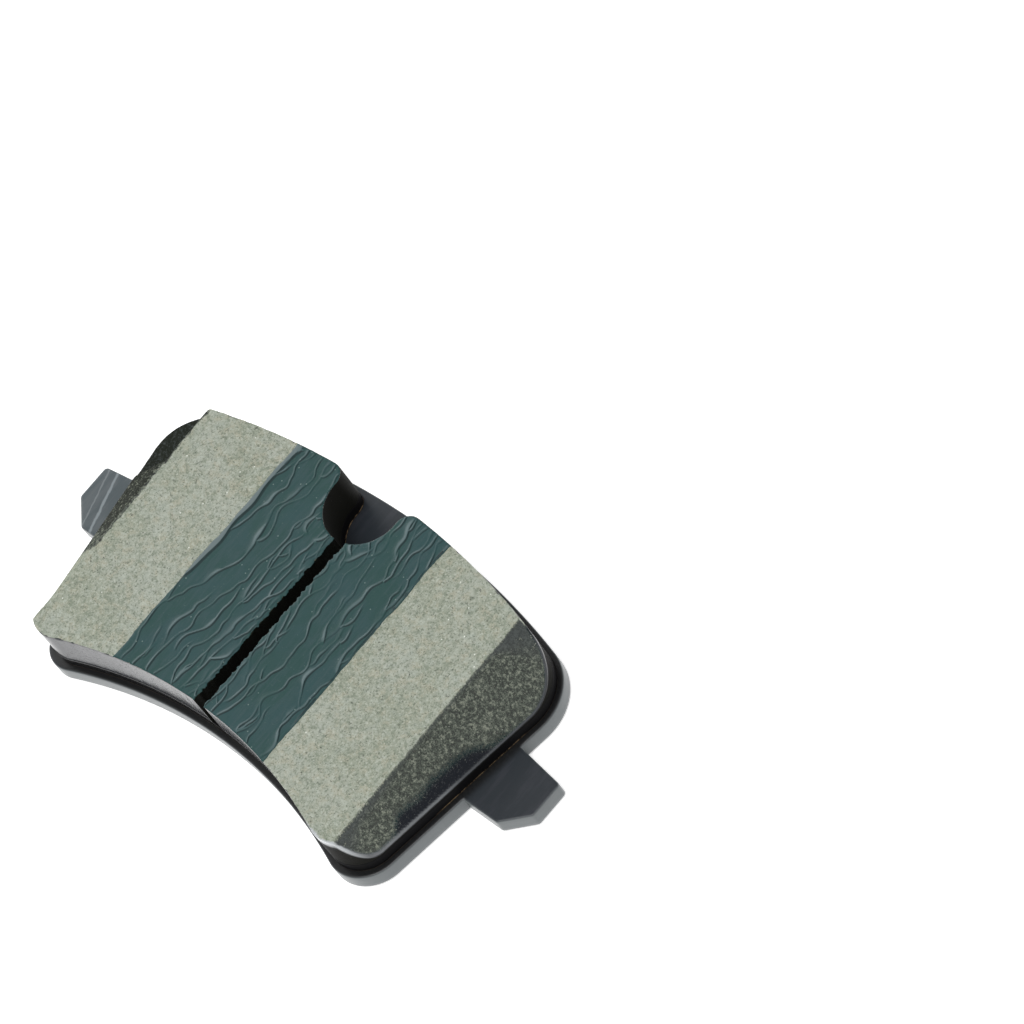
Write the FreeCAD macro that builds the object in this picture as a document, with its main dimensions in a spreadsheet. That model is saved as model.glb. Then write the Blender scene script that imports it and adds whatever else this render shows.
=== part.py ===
"""Disc brake pad, one of an axle set of four.

Frame: millimetres, X along the pad from ear to ear, Y away from the wheel's axis,
Z up from the back of the shim to the friction face.  The origin is at the bottom
centre of the box around the pad.  The sketches are drawn about the crown of the
lining's inner arc, and every body is then moved down Y by box_mid_y.

Built from the back to the face: shim (rubber skin, steel core, glue), stamped
backing plate with two ears, bonding film, moulded underlayer that also fills the
plate's four keying holes, two friction blocks with a slot and a notch between
them, and a strip of bedding-in coating on each block.  The ends of the blocks are
chamfered, and the left one has a low ledge at its outer corner.
"""
import FreeCAD, Part
import Sketcher
import math
import os
from FreeCAD import Vector

SIZES = {
    # Heights of the layers, from the back up
    "shim_rubber": 0.1,
    "shim_core": 0.3,
    "shim_glue": 0.1,
    "plate_thickness": 4.5,
    "film_thickness": 0.1,
    "underlayer_thickness": 2.9,
    "block_height": 11.4,
    "coating_thickness": 0.4,
    # Arcs of the pad: both centres lie a little left of the middle between the ears
    "arc_shift": 1.5,
    "inner_centre_y": 141.6,
    "outer_centre_y": 169.6,
    "end_lean": 8.7,
    # Backing plate
    "plate_inner_radius": 140.0,
    "plate_outer_radius": 237.5,
    "plate_end_x": 61.0,
    "plate_left_corner": 8.0,
    "plate_right_corner": 10.6,
    "plate_outer_corner": 15.0,
    "plate_edge_round": 0.5,
    "ear_tip_x": 82.0,
    "ear_low_y": 20.2,
    "ear_cut_x": 75.4,
    "ear_cut_y": 26.4,
    "ear_top_y": 36.0,
    "ear_root_y": 37.9,
    "ear_corner": 1.2,
    "key_hole_radius": 4.5,
    "key_hole_low_x": 38.0,
    "key_hole_low_y": 16.0,
    "key_hole_high_x": 27.0,
    "key_hole_high_y": 45.0,
    # Lining
    "lining_inner_radius": 141.6,
    "lining_outer_radius": 236.1,
    "lining_end_x": 59.3,
    "lining_left_corner": 7.8,
    "lining_right_corner": 9.2,
    "lining_outer_corner": 13.5,
    "slot_width": 3.5,
    "notch_x": 3.0,
    "notch_bottom_y": 50.8,
    "notch_radius": 10.6,
    "notch_shoulder": 4.0,
    # Chamfers: their upper edges run straight between two stations along Y,
    # their lower edges follow the lining's ends at one depth
    "station_near_y": -20.0,
    "station_far_y": 75.0,
    "left_edge_near_x": 55.8,
    "left_edge_far_x": 58.4,
    "left_chamfer_depth": 4.0,
    "right_edge_near_x": 54.3,
    "right_edge_far_x": 52.6,
    "right_chamfer_depth": 10.9,
    # Ledge at the outer corner of the left block, and where its edge runs off to the left
    "ledge_depth": 4.6,
    "ledge_far_y": -16.3,
    # Coating strips
    "left_strip_x": 30.6,
    "right_strip_x": 24.4,
    # Shim
    "shim_inner_radius": 141.0,
    "shim_outer_radius": 236.5,
    "shim_end_x": 59.6,
    "shim_left_corner": 7.4,
    "shim_right_corner": 9.6,
    "shim_outer_corner": 14.0,
    # Middle of the pad's box, measured from the crown of the inner arc
    "box_mid_y": 28.56,
}

# Anything wider than the pad, for cutters that clear it
CLEAR = 120.0
# Lengths that differ by less are taken as equal
SAME = 0.001
# A cut that takes away less than this volume has missed
LEAST_CUT = 1.0
# Rough heights, in the sketches, at which the long arcs meet the slanted ends
INNER_CORNER_Y = -14.0
OUTER_CORNER_Y = 56.0
# Share of a chamfer's slope by which its cutter runs past each edge
OVERRUN = 0.1
# Share of the way along the left chamfer's upper edge at which the ledge begins
LEDGE_START = 0.664

doc = FreeCAD.newDocument("brake_pad")
sheet = doc.addObject("Spreadsheet::Sheet", "Sizes")
for row, (alias, number) in enumerate(SIZES.items(), start=1):
    sheet.set(f"A{row}", alias)
    sheet.set(f"B{row}", str(number))
    sheet.setAlias(f"B{row}", alias)
doc.recompute()


# --- Dimensions: each is a pair, its present value and the expression that drives it

def size(alias, sign=1):
    """One cell of the sheet, with its sign."""
    return sign * SIZES[alias], f"{sign} * Sizes.{alias}"


def total(*aliases):
    """Sum of several cells."""
    return sum(SIZES[a] for a in aliases), " + ".join(f"Sizes.{a}" for a in aliases)


def blend(first, second, share, sign=1):
    """Goes from the first dimension towards the second by a share of the way."""
    value = first[0] + share * (second[0] - first[0])
    return sign * value, f"{sign} * (({first[1]}) + {share} * (({second[1]}) - ({first[1]})))"


def end_line_x(end_alias, y_alias):
    """Half width of the pad at a height Y, on the line of its slanted end."""
    value = SIZES[end_alias] + SIZES[y_alias] * math.tan(math.radians(SIZES["end_lean"]))
    return value, f"Sizes.{end_alias} + Sizes.{y_alias} * tan(Sizes.end_lean * 1 deg)"


SHIM = ("shim_rubber", "shim_core", "shim_glue")
PLATE_TOP = SHIM + ("plate_thickness",)
FILM_TOP = PLATE_TOP + ("film_thickness",)
UNDERLAYER_TOP = FILM_TOP + ("underlayer_thickness",)
FACE = UNDERLAYER_TOP + ("block_height",)


# --- Sketch helpers

def new_body(label):
    """A body whose placement centres the pad's box on the origin."""
    body = doc.addObject("PartDesign::Body", label)
    body.Label = label
    body.setExpression("Placement.Base.y", "-Sizes.box_mid_y")
    return body


def new_sketch(body, name, role, offset):
    """A sketch on one of the body's origin planes, moved along the plane's normal."""
    sketch = body.newObject("Sketcher::SketchObject", f"{body.Label}_{name}")
    plane = [p for p in body.Origin.OriginFeatures if p.Role == role][0]
    sketch.AttachmentSupport = [(plane, "")]
    sketch.MapMode = "FlatFace"
    sketch.setExpression("AttachmentOffset.Base.z", offset[1])
    return sketch


def drive(sketch, constraint, expression):
    """Adds a dimension and binds it to the sheet."""
    index = sketch.addConstraint(constraint)
    sketch.setExpression(f"Constraints[{index}]", expression)


def pin(sketch, geometry, point, x, y):
    """Places one point of a sketch from the origin."""
    drive(sketch, Sketcher.Constraint("DistanceX", -1, 1, geometry, point, x[0]), x[1])
    drive(sketch, Sketcher.Constraint("DistanceY", -1, 1, geometry, point, y[0]), y[1])


def join(sketch, ends):
    """Closes an outline: each pair of (geometry, point) ends meets."""
    for (first, first_point), (second, second_point) in ends:
        sketch.addConstraint(Sketcher.Constraint("Coincident", first, first_point, second, second_point))


def polygon(sketch, corners):
    """A closed outline of straight lines through pinned corners."""
    first = sketch.GeometryCount
    count = len(corners)
    for i in range(count):
        start = Vector(corners[i][0][0], corners[i][1][0], 0)
        end = Vector(corners[(i + 1) % count][0][0], corners[(i + 1) % count][1][0], 0)
        sketch.addGeometry(Part.LineSegment(start, end))
    join(sketch, [((first + i, 2), (first + (i + 1) % count, 1)) for i in range(count)])
    for i, (x, y) in enumerate(corners):
        pin(sketch, first + i, 1, x, y)


def pad_arc(sketch, centre_alias, radius_alias, half_width):
    """One long arc of the pad, drawn from its right end to its left end."""
    centre = Vector(-SIZES["arc_shift"], -SIZES[centre_alias], 0)
    radius = SIZES[radius_alias]
    right = math.acos((half_width + SIZES["arc_shift"]) / radius)
    left = math.acos((SIZES["arc_shift"] - half_width) / radius)
    arc = sketch.addGeometry(Part.ArcOfCircle(Part.Circle(centre, Vector(0, 0, 1), radius), right, left))
    pin(sketch, arc, 3, size("arc_shift", -1), size(centre_alias, -1))
    drive(sketch, Sketcher.Constraint("Radius", arc, radius), f"Sizes.{radius_alias}")
    return arc


def end_line(sketch, start, end, end_alias, side):
    """A stretch of one slanted end: side is 1 going out on the right, -1 coming in on the left."""
    line = sketch.addGeometry(Part.LineSegment(Vector(*start, 0), Vector(*end, 0)))
    lean = math.radians(SIZES["end_lean"])
    angle = f"{side} * (90 deg - Sizes.end_lean * 1 deg)"
    drive(sketch, Sketcher.Constraint("Angle", line, side * (math.pi / 2 - lean)), angle)
    reach = SIZES[end_alias] * math.cos(lean)
    drive(sketch, Sketcher.Constraint("Distance", -1, 1, line, reach),
          f"Sizes.{end_alias} * cos(Sizes.end_lean * 1 deg)")
    return line


# --- Feature helpers

def pad(body, sketch, length, downwards=False):
    """Adds material on a sketch, upwards unless told otherwise."""
    feature = body.newObject("PartDesign::Pad", f"{sketch.Name}_pad")
    feature.Profile = sketch
    feature.Reversed = downwards
    feature.setExpression("Length", length[1])
    doc.recompute()
    return feature


def pocket(body, sketch):
    """Cuts a sketch through everything above it, and makes sure that it cuts."""
    before = body.Shape.Volume
    feature = body.newObject("PartDesign::Pocket", f"{sketch.Name}_pocket")
    feature.Profile = sketch
    feature.Type = "ThroughAll"
    feature.Reversed = True
    doc.recompute()
    if body.Shape.Volume > before - LEAST_CUT:
        raise RuntimeError(f"{sketch.Name} cuts nothing")
    return feature


def upright_edges(feature, places):
    """Names of the vertical edges nearest to each (x, y)."""
    names = []
    for x, y in places:
        found = []
        for index, edge in enumerate(feature.Shape.Edges, start=1):
            low, high = edge.Vertexes[0].Point, edge.Vertexes[-1].Point
            if math.hypot(low.x - high.x, low.y - high.y) < SAME < abs(low.z - high.z):
                found.append((math.hypot(low.x - x, low.y - y), f"Edge{index}"))
        names.append(min(found)[1])
    return names


def fillet(body, base, edges, radius_alias):
    """Rounds the named edges of a feature."""
    feature = body.newObject("PartDesign::Fillet", f"{base.Name}_{radius_alias}")
    feature.Base = (base, edges)
    feature.setExpression("Radius", f"Sizes.{radius_alias}")
    doc.recompute()
    return feature


# --- Outlines

def corner_places(prefix):
    """Rough places of the sharp inner and outer corners of an outline, in the sketch."""
    lean = math.tan(math.radians(SIZES["end_lean"]))
    inner_x = SIZES[f"{prefix}_end_x"] + INNER_CORNER_Y * lean
    outer_x = SIZES[f"{prefix}_end_x"] + OUTER_CORNER_Y * lean
    inner = [(-inner_x, INNER_CORNER_Y), (inner_x, INNER_CORNER_Y)]
    outer = [(-outer_x, OUTER_CORNER_Y), (outer_x, OUTER_CORNER_Y)]
    return inner, outer


def sector_outline(sketch, prefix):
    """Two long arcs closed by two slanted ends, with sharp corners."""
    (inner_left, inner_right), (outer_left, outer_right) = corner_places(prefix)
    inner = pad_arc(sketch, "inner_centre_y", f"{prefix}_inner_radius", inner_right[0])
    right = end_line(sketch, inner_right, outer_right, f"{prefix}_end_x", 1)
    outer = pad_arc(sketch, "outer_centre_y", f"{prefix}_outer_radius", outer_right[0])
    left = end_line(sketch, outer_left, inner_left, f"{prefix}_end_x", -1)
    join(sketch, [((inner, 1), (right, 1)), ((right, 2), (outer, 1)),
                  ((outer, 2), (left, 1)), ((left, 2), (inner, 2))])


def round_corners(body, slab, prefix):
    """Rounds the corners of an outline: the two inner ones each on its own, the outer ones alike."""
    (left, right), outer = corner_places(prefix)
    feature = fillet(body, slab, upright_edges(slab, [left]), f"{prefix}_left_corner")
    feature = fillet(body, feature, upright_edges(feature, [right]), f"{prefix}_right_corner")
    return fillet(body, feature, upright_edges(feature, outer), f"{prefix}_outer_corner")


def sector_body(label, prefix, bottom, height):
    """A layer with the rounded sector outline, from a height up."""
    body = new_body(label)
    sketch = new_sketch(body, "outline", "XY_Plane", bottom)
    sector_outline(sketch, prefix)
    round_corners(body, pad(body, sketch, height), prefix)
    return body


def cut_notch(body, bottom):
    """The round-bottomed notch in the outer edge, with rounded shoulders."""
    sketch = new_sketch(body, "notch", "XY_Plane", bottom)
    middle = -SIZES["notch_x"]
    radius = SIZES["notch_radius"]
    centre_y = SIZES["notch_bottom_y"] + radius
    circle = Part.Circle(Vector(middle, centre_y, 0), Vector(0, 0, 1), radius)
    bowl = sketch.addGeometry(Part.ArcOfCircle(circle, math.pi, 2 * math.pi))
    pin(sketch, bowl, 3, size("notch_x", -1), total("notch_bottom_y", "notch_radius"))
    drive(sketch, Sketcher.Constraint("Radius", bowl, radius), "Sizes.notch_radius")
    corners = [(middle + radius, centre_y), (middle + radius, CLEAR),
               (middle - radius, CLEAR), (middle - radius, centre_y)]
    walls = []
    for start, end in zip(corners[:-1], corners[1:]):
        walls.append(sketch.addGeometry(Part.LineSegment(Vector(*start, 0), Vector(*end, 0))))
    join(sketch, [((bowl, 2), (walls[0], 1)), ((walls[0], 2), (walls[1], 1)),
                  ((walls[1], 2), (walls[2], 1)), ((walls[2], 2), (bowl, 1))])
    sketch.addConstraint(Sketcher.Constraint("Vertical", walls[0]))
    sketch.addConstraint(Sketcher.Constraint("Horizontal", walls[1]))
    sketch.addConstraint(Sketcher.Constraint("Vertical", walls[2]))
    sketch.addConstraint(Sketcher.Constraint("Horizontal", bowl, 1, bowl, 3))
    sketch.addConstraint(Sketcher.Constraint("Horizontal", bowl, 2, bowl, 3))
    sketch.addConstraint(Sketcher.Constraint("DistanceY", -1, 1, walls[1], 1, CLEAR))
    return pocket(body, sketch)


def notch_shoulders():
    """Where the notch's walls meet the lining's outer edge."""
    top = SIZES["lining_outer_radius"] - SIZES["outer_centre_y"]
    return [(side * SIZES["notch_radius"] - SIZES["notch_x"], top) for side in (-1, 1)]


def cut_side(body, name, bottom, edge_x, side):
    """Removes all that lies beyond a line across the pad, to the left (-1) or the right (1)."""
    sketch = new_sketch(body, name, "XY_Plane", bottom)
    far_x = (side * CLEAR, str(side * CLEAR))
    low = (-CLEAR, str(-CLEAR))
    high = (CLEAR, str(CLEAR))
    polygon(sketch, [(edge_x, low), (far_x, low), (far_x, high), (edge_x, high)])
    return pocket(body, sketch)


def slot_wall(side):
    """The slot's left (-1) or right (1) wall."""
    value = -SIZES["arc_shift"] + side * SIZES["slot_width"] / 2
    return value, f"{side} * Sizes.slot_width / 2 - Sizes.arc_shift"


# --- Sub-parts

def key_holes(sketch):
    """Four circles, two to a side."""
    radius = SIZES["key_hole_radius"]
    for level in ("low", "high"):
        x_alias, y_alias = f"key_hole_{level}_x", f"key_hole_{level}_y"
        for side in (-1, 1):
            centre = Vector(side * SIZES[x_alias], SIZES[y_alias], 0)
            hole = sketch.addGeometry(Part.Circle(centre, Vector(0, 0, 1), radius))
            pin(sketch, hole, 3, size(x_alias, side), size(y_alias))
            drive(sketch, Sketcher.Constraint("Radius", hole, radius), "Sizes.key_hole_radius")


def backing_plate():
    """Stamped steel plate: sector outline with an ear on each end, and four keying holes."""
    body = new_body("backing_plate")
    bottom = total(*SHIM)
    sketch = new_sketch(body, "outline", "XY_Plane", bottom)
    (inner_left, inner_right), (outer_left, outer_right) = corner_places("plate")
    inner = pad_arc(sketch, "inner_centre_y", "plate_inner_radius", inner_right[0])
    outer = pad_arc(sketch, "outer_centre_y", "plate_outer_radius", outer_right[0])
    for side, inner_corner, outer_corner, arc_end in ((1, inner_right, outer_right, 1),
                                                      (-1, inner_left, outer_left, 2)):
        low_root = end_line_x("plate_end_x", "ear_low_y")
        high_root = end_line_x("plate_end_x", "ear_root_y")
        ear = [(low_root, size("ear_low_y")),
               (size("ear_cut_x"), size("ear_low_y")),
               (size("ear_tip_x"), size("ear_cut_y")),
               (size("ear_tip_x"), size("ear_top_y")),
               (high_root, size("ear_root_y"))]
        lines = []
        for (start_x, start_y), (end_x, end_y) in zip(ear[:-1], ear[1:]):
            start = Vector(side * start_x[0], start_y[0], 0)
            end = Vector(side * end_x[0], end_y[0], 0)
            lines.append(sketch.addGeometry(Part.LineSegment(start, end)))
        for line, (x, y) in zip(lines, ear[:-1]):
            pin(sketch, line, 1, (side * x[0], f"{side} * ({x[1]})"), y)
        pin(sketch, lines[-1], 2, (side * high_root[0], f"{side} * ({high_root[1]})"), size("ear_root_y"))
        low_point = (side * low_root[0], SIZES["ear_low_y"])
        high_point = (side * high_root[0], SIZES["ear_root_y"])
        lower = sketch.addGeometry(Part.LineSegment(Vector(*inner_corner, 0), Vector(*low_point, 0)))
        upper = sketch.addGeometry(Part.LineSegment(Vector(*high_point, 0), Vector(*outer_corner, 0)))
        lean = SIZES["end_lean"]
        angle = math.radians(90 - side * lean)
        expression = f"90 deg - {side} * Sizes.end_lean * 1 deg"
        drive(sketch, Sketcher.Constraint("Angle", lower, angle), expression)
        drive(sketch, Sketcher.Constraint("Angle", upper, angle), expression)
        join(sketch, [((inner, arc_end), (lower, 1)), ((lower, 2), (lines[0], 1))])
        join(sketch, [((first, 2), (second, 1)) for first, second in zip(lines[:-1], lines[1:])])
        join(sketch, [((lines[-1], 2), (upper, 1)), ((upper, 2), (outer, arc_end))])
    feature = round_corners(body, pad(body, sketch, size("plate_thickness")), "plate")
    ear_corners = []
    for side in (-1, 1):
        ear_corners.append((side * SIZES["ear_cut_x"], SIZES["ear_low_y"]))
        ear_corners.append((side * SIZES["ear_tip_x"], SIZES["ear_cut_y"]))
        ear_corners.append((side * SIZES["ear_tip_x"], SIZES["ear_top_y"]))
    feature = fillet(body, feature, upright_edges(feature, ear_corners), "ear_corner")
    top = sum(SIZES[alias] for alias in PLATE_TOP)
    rims = [f"Edge{i}" for i, edge in enumerate(feature.Shape.Edges, start=1)
            if all(abs(vertex.Point.z - top) < SAME for vertex in edge.Vertexes)]
    fillet(body, feature, rims, "plate_edge_round")
    holes = new_sketch(body, "key_holes", "XY_Plane", bottom)
    key_holes(holes)
    pocket(body, holes)
    return body


def bonding_film():
    """Film of adhesive between the plate and the lining."""
    bottom = total(*PLATE_TOP)
    body = sector_body("bonding_film", "lining", bottom, size("film_thickness"))
    notch = cut_notch(body, bottom)
    fillet(body, notch, upright_edges(notch, notch_shoulders()), "notch_shoulder")
    holes = new_sketch(body, "key_holes", "XY_Plane", bottom)
    key_holes(holes)
    pocket(body, holes)
    return body


def underlayer():
    """Moulded layer under both blocks, with a plug down each keying hole of the plate."""
    bottom = total(*FILM_TOP)
    body = sector_body("underlayer", "lining", bottom, size("underlayer_thickness"))
    notch = cut_notch(body, bottom)
    fillet(body, notch, upright_edges(notch, notch_shoulders()), "notch_shoulder")
    plugs = new_sketch(body, "plugs", "XY_Plane", bottom)
    key_holes(plugs)
    pad(body, plugs, total("film_thickness", "plate_thickness"), downwards=True)
    return body


def chamfer_section(body, name, side, edge_alias, depth_alias, station_alias):
    """Cross-section of the wedge that is cut off a block's end, at one station along Y."""
    station = size(station_alias, -1)
    sketch = new_sketch(body, name, "XZ_Plane", station)
    face = total(*FACE)
    edge_x = size(edge_alias)
    lip_x = end_line_x("lining_end_x", station_alias)
    lip_z = (face[0] - SIZES[depth_alias], f"{face[1]} - Sizes.{depth_alias}")
    top_x, top_z = blend(edge_x, lip_x, -OVERRUN, side), blend(face, lip_z, -OVERRUN)
    low_x, low_z = blend(edge_x, lip_x, 1 + OVERRUN, side), blend(face, lip_z, 1 + OVERRUN)
    beyond = (side * CLEAR, str(side * CLEAR))
    polygon(sketch, [(top_x, top_z), (low_x, low_z), (beyond, low_z), (beyond, top_z)])
    return sketch


def cut_ledge(body):
    """A flat ledge, lower than the left chamfer, at the block's outer corner."""
    face = total(*FACE)
    floor = (face[0] - SIZES["ledge_depth"], f"{face[1]} - Sizes.ledge_depth")
    sketch = new_sketch(body, "ledge", "XY_Plane", floor)
    start_x = blend(size("left_edge_near_x"), size("left_edge_far_x"), LEDGE_START, -1)
    start_y = blend(size("station_near_y"), size("station_far_y"), LEDGE_START)
    beyond = (-CLEAR, str(-CLEAR))
    top_y = size("station_far_y")
    polygon(sketch, [(start_x, start_y), (beyond, size("ledge_far_y")),
                     (beyond, top_y), (size("left_edge_far_x", -1), top_y)])
    return pocket(body, sketch)


def friction_block(label, side):
    """One block of the lining: slot wall, notch corner and chamfer, and on the left the ledge."""
    word = "left" if side < 0 else "right"
    bottom = total(*UNDERLAYER_TOP)
    body = sector_body(label, "lining", bottom, size("block_height"))
    cut_side(body, "slot", bottom, slot_wall(side), -side)
    notch = cut_notch(body, bottom)
    shoulder = notch_shoulders()[0 if side < 0 else 1]
    fillet(body, notch, upright_edges(notch, [shoulder]), "notch_shoulder")
    if side < 0:
        cut_ledge(body)
    near = chamfer_section(body, "chamfer_near", side, f"{word}_edge_near_x",
                           f"{word}_chamfer_depth", "station_near_y")
    far = chamfer_section(body, "chamfer_far", side, f"{word}_edge_far_x",
                          f"{word}_chamfer_depth", "station_far_y")
    doc.recompute()
    before = body.Shape.Volume
    wedge = body.newObject("PartDesign::SubtractiveLoft", f"{label}_chamfer")
    wedge.Profile = near
    wedge.Sections = [far]
    wedge.Ruled = True
    doc.recompute()
    if body.Shape.Volume > before - LEAST_CUT:
        raise RuntimeError(f"{label} has no chamfer")
    return body


def coating_strip(label, side):
    """Strip of bedding-in coating on a block, from the slot outwards."""
    bottom = total(*FACE)
    body = sector_body(label, "lining", bottom, size("coating_thickness"))
    cut_side(body, "slot", bottom, slot_wall(side), -side)
    outer_alias = "left_strip_x" if side < 0 else "right_strip_x"
    cut_side(body, "outer", bottom, size(outer_alias, side), side)
    notch = cut_notch(body, bottom)
    shoulder = notch_shoulders()[0 if side < 0 else 1]
    fillet(body, notch, upright_edges(notch, [shoulder]), "notch_shoulder")
    return body


subparts = [
    sector_body("shim_rubber_skin", "shim", (0.0, "0"), size("shim_rubber")),
    sector_body("shim_steel_core", "shim", total("shim_rubber"), size("shim_core")),
    sector_body("shim_glue_layer", "shim", total("shim_rubber", "shim_core"), size("shim_glue")),
    backing_plate(),
    bonding_film(),
    underlayer(),
    friction_block("friction_block_left", -1),
    friction_block("friction_block_right", 1),
    coating_strip("coating_strip_left", -1),
    coating_strip("coating_strip_right", 1),
]

# --- Checks and export

doc.recompute()
for item in doc.Objects:
    if "Invalid" in item.State or "Error" in item.State:
        raise RuntimeError(f"{item.Name} failed: {item.State}")
os.makedirs("parts", exist_ok=True)
for body in subparts:
    shape = body.Shape
    if shape.isNull() or not shape.isValid() or len(shape.Solids) != 1:
        raise RuntimeError(f"{body.Label} is not one valid solid")
    box = shape.BoundBox
    print(f"{body.Label}: {shape.Volume:.1f} mm3, X {box.XMin:.2f}..{box.XMax:.2f}, "
          f"Y {box.YMin:.2f}..{box.YMax:.2f}, Z {box.ZMin:.2f}..{box.ZMax:.2f}")
    shape.exportStep(f"parts/{body.Label}.step")
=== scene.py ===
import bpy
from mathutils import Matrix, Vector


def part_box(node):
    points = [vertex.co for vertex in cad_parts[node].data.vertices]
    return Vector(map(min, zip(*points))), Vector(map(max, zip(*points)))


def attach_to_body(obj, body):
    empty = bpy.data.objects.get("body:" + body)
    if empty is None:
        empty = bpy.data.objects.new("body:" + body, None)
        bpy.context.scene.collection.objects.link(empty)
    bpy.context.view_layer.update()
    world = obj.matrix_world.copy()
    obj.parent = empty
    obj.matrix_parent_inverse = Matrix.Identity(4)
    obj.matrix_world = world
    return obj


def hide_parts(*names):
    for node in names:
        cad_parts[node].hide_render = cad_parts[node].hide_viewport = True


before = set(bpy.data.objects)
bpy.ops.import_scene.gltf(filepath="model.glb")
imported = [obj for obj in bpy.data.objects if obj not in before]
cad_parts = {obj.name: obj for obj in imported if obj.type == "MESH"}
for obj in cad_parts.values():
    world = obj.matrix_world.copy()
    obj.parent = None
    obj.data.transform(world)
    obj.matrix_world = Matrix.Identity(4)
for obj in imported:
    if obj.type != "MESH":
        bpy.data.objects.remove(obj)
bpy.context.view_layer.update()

# Looks of a disc brake pad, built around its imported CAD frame.  Shapes are worked out
# in millimetres, in the CAD frame, and turned into metres when a mesh is made.
import math
from functools import lru_cache

import bpy
import numpy as np
from mathutils import Matrix, Vector
from mathutils.geometry import delaunay_2d_cdt

MM = 0.001

# Points closer than this are one, and triangles smaller than this are dropped
TINY = 1e-7

# Plan of the pad
ARC_X = -1.5
INNER_ARC_Y = -170.16
OUTER_ARC_Y = -198.16
CROWN_Y = -28.56
LEAN = math.radians(8.7)
LINING = {"inner": 141.6, "outer": 236.1, "end_x": 59.3,
          "inner_corner": {-1: 7.8, 1: 9.2}, "outer_corner": 13.5}
PLATE = {"inner": 140.0, "outer": 237.5, "end_x": 61.0,
         "inner_corner": {-1: 8.0, 1: 10.6}, "outer_corner": 15.0}
EAR = [(75.4, -8.36), (82.0, -2.16), (82.0, 7.44)]
EAR_ROOTS_Y = (-8.36, 9.34)
EAR_CORNER = 1.2
NOTCH_X = -3.0
NOTCH_Y = 32.84
NOTCH_RADIUS = 10.6
SHOULDER = 4.0
SLOT_HALF = 1.75
STRIP_EDGE = {-1: 30.6, 1: 24.4}
SIDE_NAME = {-1: "left", 1: "right"}
KEY_HOLES = [(38.0, -12.56), (27.0, 16.44)]
KEY_HOLE_RADIUS = 4.5

# Chamfers: half width at the face near and far, and depth
STATIONS_Y = (-48.56, 46.44)
CHAMFER = {-1: (55.8, 58.4, 4.0), 1: (54.3, 52.6, 10.9)}

# Ledge at the outer corner of the left block: where its diagonal edge starts and how it falls
LEDGE_START = (57.53, 14.52)
LEDGE_FALL = 0.951
LEDGE_DEPTH = 4.6


def level(node, end):
    """Height of a CAD node's bottom (0) or top (1), in millimetres."""
    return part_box(node)[end].z / MM


PLATE_BOTTOM = level("backing_plate", 0)
PLATE_TOP = level("backing_plate", 1)
LAYER_BOTTOM = level("bonding_film", 1)
LAYER_TOP = level("underlayer", 1)
FACE = level("friction_block_right", 1)
COAT_TOP = level("coating_strip_right", 1)


# ---- noise

@lru_cache(maxsize=None)
def noise_table(seed):
    return np.random.RandomState(seed).uniform(-1, 1, (256, 256))


def smooth_noise(x, y, cell, seed):
    """Smooth noise from -1 to 1 whose bumps are about a cell wide."""
    table = noise_table(seed)
    u, v = np.asarray(x) / cell + 512.0, np.asarray(y) / cell + 512.0
    i, j = np.floor(u).astype(int), np.floor(v).astype(int)
    fu, fv = u - i, v - j
    fu, fv = fu * fu * (3 - 2 * fu), fv * fv * (3 - 2 * fv)
    i0, i1, j0, j1 = i % 256, (i + 1) % 256, j % 256, (j + 1) % 256
    low = table[i0, j0] * (1 - fu) + table[i1, j0] * fu
    high = table[i0, j1] * (1 - fu) + table[i1, j1] * fu
    return low * (1 - fv) + high * fv


def rough_noise(x, y, cell, seed, octaves=3):
    """Several sizes of smooth noise added up, from about -1 to 1."""
    total, weight = 0.0, 0.0
    for k in range(octaves):
        total = total + smooth_noise(x, y, cell / 2 ** k, seed + k) / 2 ** k
        weight += 1 / 2 ** k
    return total / weight


def ease(value, low, high):
    """0 below low, 1 above high, and smooth between."""
    t = np.clip((np.asarray(value, float) - low) / (high - low), 0, 1)
    return t * t * (3 - 2 * t)


def fall(value, low, high):
    """1 below low, 0 above high, and smooth between."""
    return ease(-value, -high, -low)


# ---- outlines

def unit(vectors):
    """Vectors, one or a row each, at length 1."""
    return vectors / np.maximum(np.linalg.norm(vectors, axis=-1, keepdims=True), 1e-9)


def run(start, end, step):
    """Points along a straight run, without its last one."""
    start, end = np.array(start, float), np.array(end, float)
    count = max(1, round(float(np.linalg.norm(end - start)) / step))
    return start + np.linspace(0, 1, count, endpoint=False)[:, None] * (end - start)


def arc(centre, radius, first, last, step):
    """Points along an arc between two angles, without its last one."""
    count = max(3, round(abs(last - first) * radius / step))
    angle = np.linspace(first, last, count, endpoint=False)
    return np.array(centre) + radius * np.column_stack((np.cos(angle), np.sin(angle)))


def angle_from(centre, point):
    return math.atan2(point[1] - centre[1], point[0] - centre[0])


def sweep(centre, radius, start, end, step):
    """Points along an arc, between the directions of two points, without its last one."""
    return arc(centre, radius, angle_from(centre, start), angle_from(centre, end), step)


def rounding_centre(foot, along, inward, radius, arc_centre, reach):
    """Centre of a rounding that touches a line on its inward side and an arc."""
    start = foot + inward * radius - arc_centre
    ahead = float(start @ along)
    t = -ahead + math.sqrt(ahead ** 2 - float(start @ start) + reach ** 2)
    return arc_centre + start + t * along


def arc_centres(side):
    """Centres of the inner and the outer arcs, with the pad mirrored so that side is on the right."""
    return np.array((side * ARC_X, INNER_ARC_Y)), np.array((side * ARC_X, OUTER_ARC_Y))


def on_arc(centre, radius, x):
    """Upper point of a circle at an x."""
    return np.array((x, centre[1] + math.sqrt(radius ** 2 - (x - centre[0]) ** 2)))


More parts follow.
